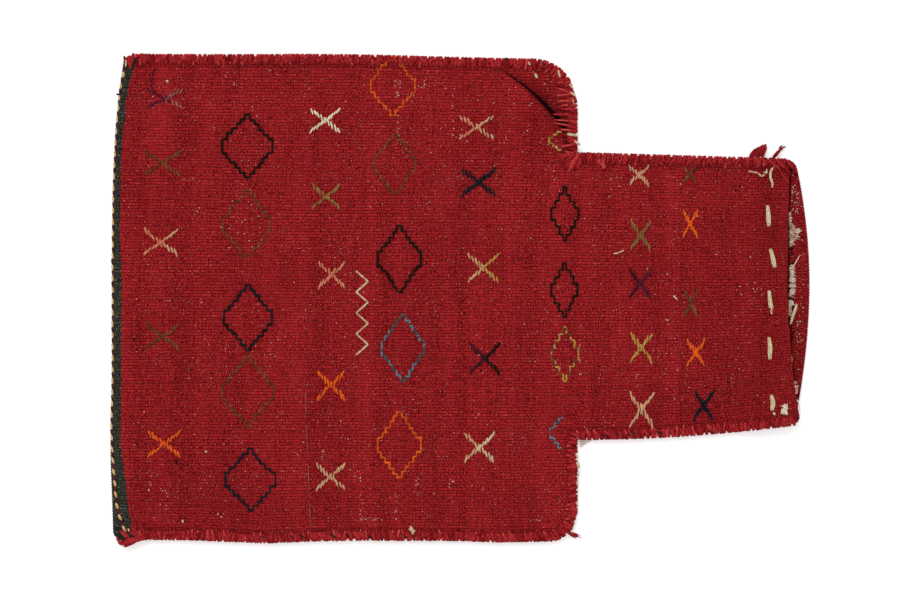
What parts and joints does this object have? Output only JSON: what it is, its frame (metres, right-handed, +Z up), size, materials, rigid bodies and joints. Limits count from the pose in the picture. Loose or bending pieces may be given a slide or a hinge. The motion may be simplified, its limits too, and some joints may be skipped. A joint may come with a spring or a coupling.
{
  "type": "kilim salt bag",
  "caption": "Flat-woven wool salt bag with a broad body and a narrow neck, open at the mouth, sides overcast, front strewn with crosses and lozenges.",
  "frame": {"origin": "middle of the underside, halfway along the bag and halfway across it, where it lies on a table", "axes": "+X from the folded foot to the mouth, +Z up out of the front panel, +Y across the bag towards its upper side in the picture"},
  "size_m": [0.54, 0.3834, 0.0138],
  "materials": {
    "madder_red": "matte, dry wool",
    "seam_red": "matte, dry wool",
    "bottle_green": "matte, dry wool",
    "cream": "matte, dry wool",
    "orange": "matte, dry wool",
    "salmon": "matte, dry wool",
    "olive": "matte, dry wool",
    "gold": "matte, dry wool",
    "navy": "matte, dry wool",
    "teal": "matte, dry wool",
    "sky_blue": "matte, dry wool",
    "plum": "matte, dry wool"
  },
  "bodies": {
    "root": {"kilim_cloth": "madder_red", "upper_overcasting": "seam_red", "lower_overcasting": "seam_red", "fold_twining": "cream", "cream_zigzag": "cream", "row1_cross_1": "plum", "row1_cross_2": "olive", "row1_cross_3": "salmon", "row1_cross_4": "olive", "row1_cross_5": "orange", "row2_lozenge_1": "bottle_green", "row2_lozenge_2": "olive", "row2_lozenge_3": "navy", "row2_lozenge_4": "olive", "row2_lozenge_5": "navy", "row3_cross_1": "cream", "row3_cross_2": "olive", "row3_cross_3": "salmon", "row3_cross_4": "orange", "row3_cross_5": "cream", "row4_lozenge_1": "orange", "row4_lozenge_2": "olive", "row4_lozenge_3": "bottle_green", "row4_lozenge_4": "teal", "row4_lozenge_5": "orange", "row5_cross_1": "salmon", "row5_cross_2": "navy", "row5_cross_3": "gold", "row5_cross_4": "plum", "row5_cross_5": "cream", "row6_lozenge_2": "bottle_green", "row6_lozenge_3": "bottle_green", "row6_lozenge_4": "gold", "row7_cross_1": "cream", "row7_cross_2": "olive", "row7_cross_3": "plum", "row7_cross_4": "gold", "row7_cross_5": "cream", "row8_cross_1": "olive", "row8_cross_2": "orange", "row8_cross_3": "olive", "row8_cross_4": "orange", "row8_cross_5": "navy", "row6_half_lozenge_1": "gold", "row6_half_lozenge_5": "sky_blue", "front_hem_stitch_1": "cream", "front_hem_stitch_2": "cream", "front_hem_stitch_3": "cream", "front_hem_stitch_4": "cream", "front_hem_stitch_5": "cream", "front_hem_stitch_6": "cream", "back_hem_stitch_1": "cream", "back_hem_stitch_2": "cream", "upper_yarn_end_1": "seam_red", "upper_yarn_end_2": "seam_red", "lower_yarn_end": "seam_red", "foot_yarn_knot": "seam_red"}
  },
  "joints": []
}
